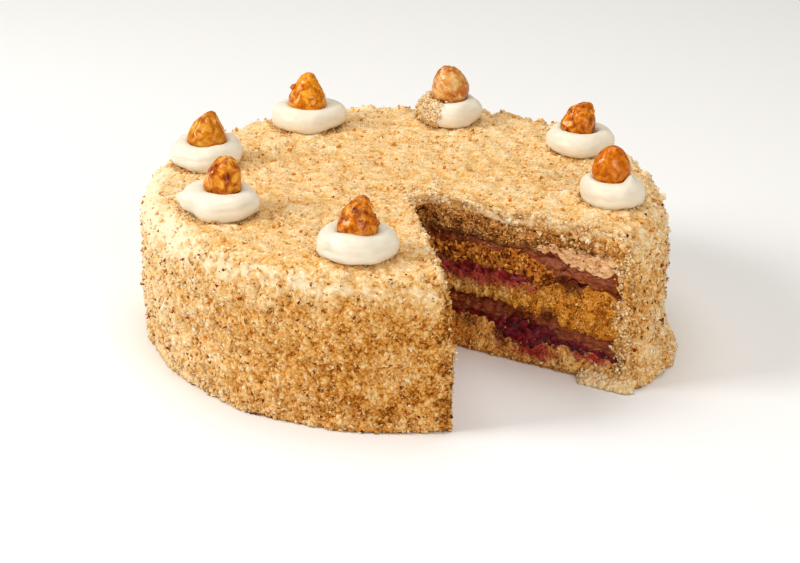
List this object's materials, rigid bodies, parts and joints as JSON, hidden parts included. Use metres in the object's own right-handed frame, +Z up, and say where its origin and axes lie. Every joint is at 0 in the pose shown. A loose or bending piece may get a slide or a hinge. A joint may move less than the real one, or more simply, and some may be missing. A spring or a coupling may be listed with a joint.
{
  "type": "nut cream torte",
  "caption": "Round layered nut cream torte with a slice taken out, coated in ground hazelnuts and topped with a ring of cream dollops, each with a caramelised hazelnut.",
  "frame": {"origin": "middle of the cake's box at the level of its underside", "axes": "+Z up from the underside to the hazelnuts; -Y towards the viewer, the side where the slice is missing; +X to the viewer's right"},
  "size_m": [0.2315, 0.2262, 0.0905],
  "materials": {
    "sponge_base": "soft golden sponge, stands in for baked sponge",
    "jam_lower": "wet dark berry jam",
    "choc_cream_lower": "smooth chocolate cream",
    "sponge_thick": "golden-yellow sponge",
    "jam_upper": "wet dark berry jam",
    "sponge_soaked": "sponge soaked brown",
    "choc_cream_upper": "smooth chocolate cream",
    "nut_cream": "pinkish-beige nut cream",
    "sponge_top": "greyish-golden sponge",
    "nut_coat": "cream rolled in ground roasted hazelnuts",
    "whipped_cream": "satin piped cream",
    "caramel_hazelnut": "glossy caramel over a roasted hazelnut"
  },
  "bodies": {
    "root": {"sponge_base": "sponge_base", "jam_lower": "jam_lower", "choc_cream_lower": "choc_cream_lower", "sponge_thick": "sponge_thick", "jam_upper": "jam_upper", "sponge_soaked": "sponge_soaked", "choc_cream_upper": "choc_cream_upper", "nut_cream": "nut_cream", "sponge_top": "sponge_top", "nut_coat": "nut_coat", "dollop_1": "whipped_cream", "dollop_2": "whipped_cream", "dollop_3": "whipped_cream", "dollop_4": "whipped_cream", "dollop_5": "whipped_cream", "dollop_6": "whipped_cream", "dollop_7": "whipped_cream", "hazelnut_1": "caramel_hazelnut", "hazelnut_2": "caramel_hazelnut", "hazelnut_3": "caramel_hazelnut", "hazelnut_4": "caramel_hazelnut", "hazelnut_5": "caramel_hazelnut", "hazelnut_6": "caramel_hazelnut", "hazelnut_7": "caramel_hazelnut"}
  },
  "joints": []
}
